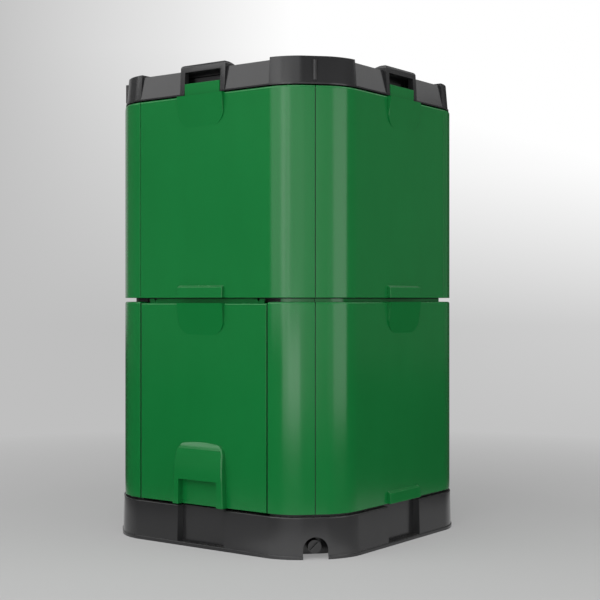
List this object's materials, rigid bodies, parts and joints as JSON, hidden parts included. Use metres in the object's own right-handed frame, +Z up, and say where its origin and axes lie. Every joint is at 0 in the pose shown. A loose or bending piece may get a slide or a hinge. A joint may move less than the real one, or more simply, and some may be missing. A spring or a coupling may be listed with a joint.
{
  "type": "hot composter",
  "caption": "Insulated garden composter in two stacked tiers of panels, with a hinged lid, swinging lower doors, an aeration column and a sump base with a drain tap.",
  "frame": {"origin": "on the ground under the middle of the bin", "axes": "+X to the right seen from the front door, +Y to the back, +Z up"},
  "size_m": [0.736, 0.75, 1.18],
  "materials": {
    "green_skin": "semi-gloss moulded plastic",
    "dark_shell": "fine-grained moulded plastic",
    "dark_liner": "plain moulded plastic",
    "black_fitting": "plain moulded plastic",
    "foam": "closed-cell foam",
    "steel": "plain",
    "seal": "plain"
  },
  "bodies": {
    "bin": {"base_tray": "dark_shell", "floor_grille": "dark_liner", "drain_body": "black_fitting", "drain_washer": "seal", "drain_nut": "black_fitting", "core_foot": "dark_liner", "core_column": "dark_liner", "core_cap": "dark_liner", "core_fin_front_left": "dark_liner", "core_fin_front_right": "dark_liner", "core_fin_back_left": "dark_liner", "core_fin_back_right": "dark_liner", "lower_left_skin": "green_skin", "lower_left_foam": "foam", "lower_left_liner": "dark_liner", "lower_right_skin": "green_skin", "lower_right_foam": "foam", "lower_right_liner": "dark_liner", "front_post_skin": "green_skin", "front_post_foam": "foam", "front_post_liner": "dark_liner", "back_post_skin": "green_skin", "back_post_foam": "foam", "back_post_liner": "dark_liner", "tier_ring": "dark_liner", "upper_front_skin": "green_skin", "upper_front_foam": "foam", "upper_front_liner": "dark_liner", "upper_right_skin": "green_skin", "upper_right_foam": "foam", "upper_right_liner": "dark_liner", "upper_back_skin": "green_skin", "upper_back_foam": "foam", "upper_back_liner": "dark_liner", "upper_left_skin": "green_skin", "upper_left_foam": "foam", "upper_left_liner": "dark_liner", "seam_keys": "black_fitting", "lid_hinge_pin": "steel"},
    "lid": {"lid_shell": "dark_shell", "lid_foam": "foam", "lid_liner": "dark_liner", "lid_screws": "steel"},
    "front_door": {"front_door_skin": "green_skin", "front_door_foam": "foam", "front_door_liner": "dark_liner", "front_door_pins": "steel"},
    "back_door": {"back_door_skin": "green_skin", "back_door_foam": "foam", "back_door_liner": "dark_liner", "back_door_pins": "steel"},
    "tap_knob": {"drain_valve": "black_fitting"}
  },
  "joints": [
    {"name": "lid_hinge", "type": "hinge", "parent": "bin", "child": "lid", "pos_m": [0, 0.35, 1.128], "axis": [-1, 0, 0], "range_deg": [0, 100]},
    {"name": "front_door_hinge", "type": "hinge", "parent": "bin", "child": "front_door", "pos_m": [0, -0.3505, 0.585], "axis": [-1, 0, 0], "range_deg": [0, 85]},
    {"name": "back_door_hinge", "type": "hinge", "parent": "bin", "child": "back_door", "pos_m": [0, 0.3505, 0.585], "axis": [1, 0, 0], "range_deg": [0, 85]},
    {"name": "tap_turn", "type": "hinge", "parent": "bin", "child": "tap_knob", "pos_m": [0.28974, -0.28974, 0.027], "axis": [-0.7071, 0.7071, 0], "range_deg": [0, 90]}
  ]
}
